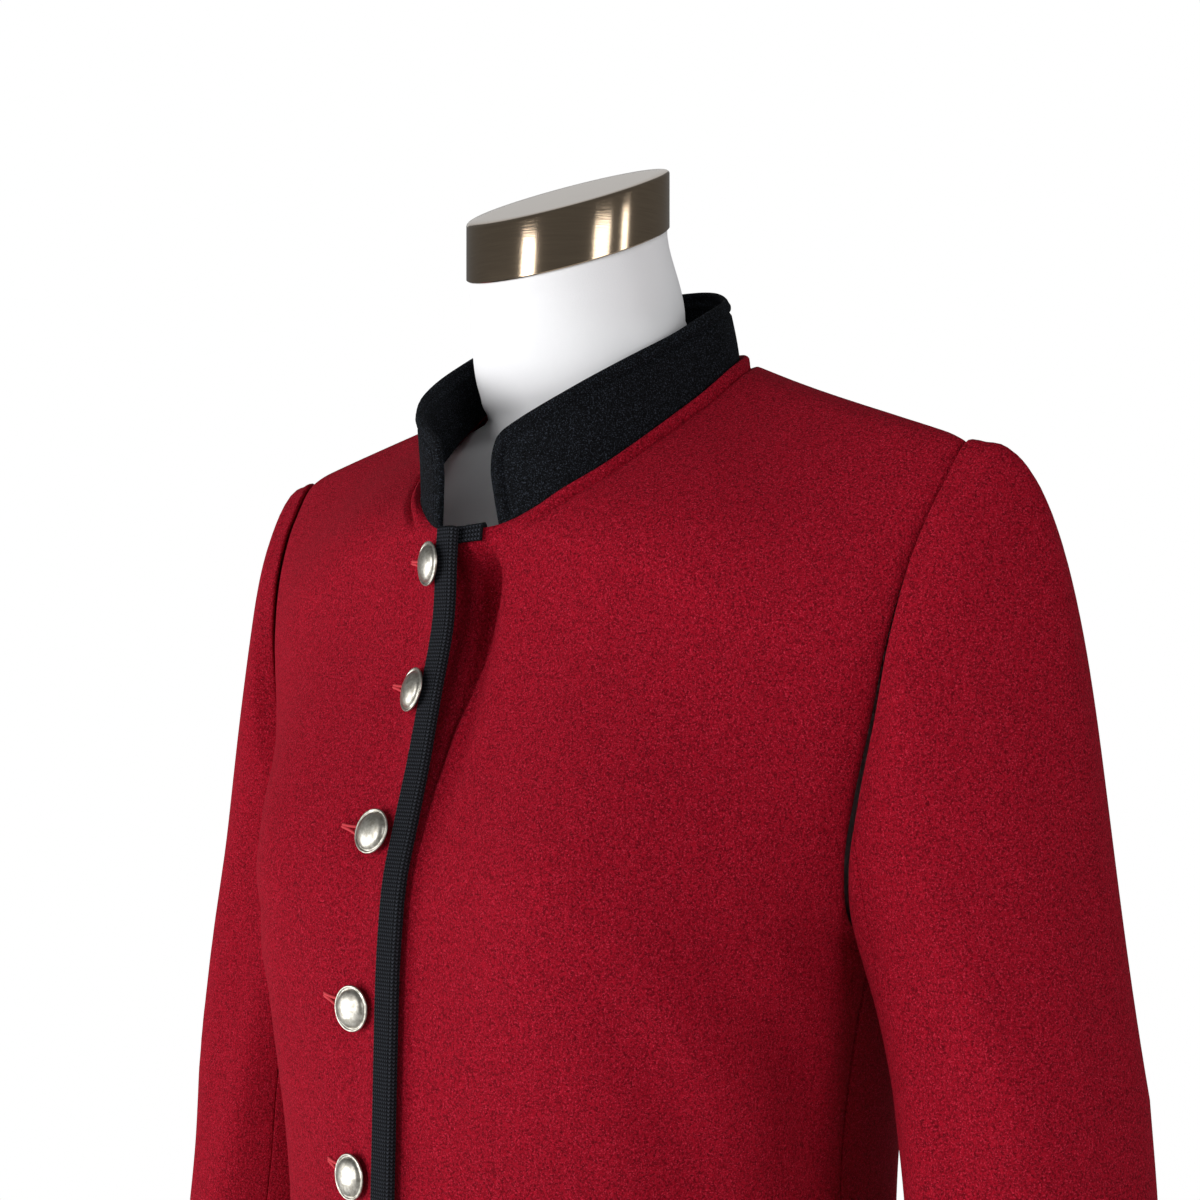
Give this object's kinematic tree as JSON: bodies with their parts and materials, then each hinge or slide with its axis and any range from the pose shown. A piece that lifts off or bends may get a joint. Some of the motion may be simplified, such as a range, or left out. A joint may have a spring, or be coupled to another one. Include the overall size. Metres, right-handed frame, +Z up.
{
  "type": "women's stand-collar wool jacket on a limbless dress form",
  "caption": "Fitted boiled-wool jacket with a black stand collar, knit-bound front edge and domed metal buttons, closed on a limbless dress form with a pole and a round base.",
  "frame": {"origin": "centre of the base's underside, on the floor", "axes": "+Z up; the jacket's front faces -Y; the wearer's left is +X"},
  "size_m": [0.569, 0.35, 1.4573],
  "materials": {
    "red_wool": "boiled wool, felted, matt",
    "black_wool": "boiled wool, felted, matt",
    "black_braid": "knitted wool braid, ribbed lengthways",
    "old_silver": "antique silver, worn, darker in the hollows",
    "white_jersey": "cotton jersey, stretched smooth",
    "brushed_nickel": "brushed round the cap, warm grey",
    "black_steel": "powder coat, satin"
  },
  "bodies": {
    "root": {"back": "red_wool", "base": "black_steel", "binding_front": "black_braid", "binding_neck": "black_braid", "button_1": "old_silver", "button_2": "old_silver", "button_3": "old_silver", "button_4": "old_silver", "button_5": "old_silver", "button_6": "old_silver", "button_7": "old_silver", "button_8": "old_silver", "collar": "black_wool", "form_torso": "white_jersey", "front_left": "red_wool", "front_right": "red_wool", "neck_cap": "brushed_nickel", "pole": "black_steel", "sleeve_under_left": "red_wool", "sleeve_under_right": "red_wool", "sleeve_upper_left": "red_wool", "sleeve_upper_right": "red_wool"}
  },
  "joints": []
}
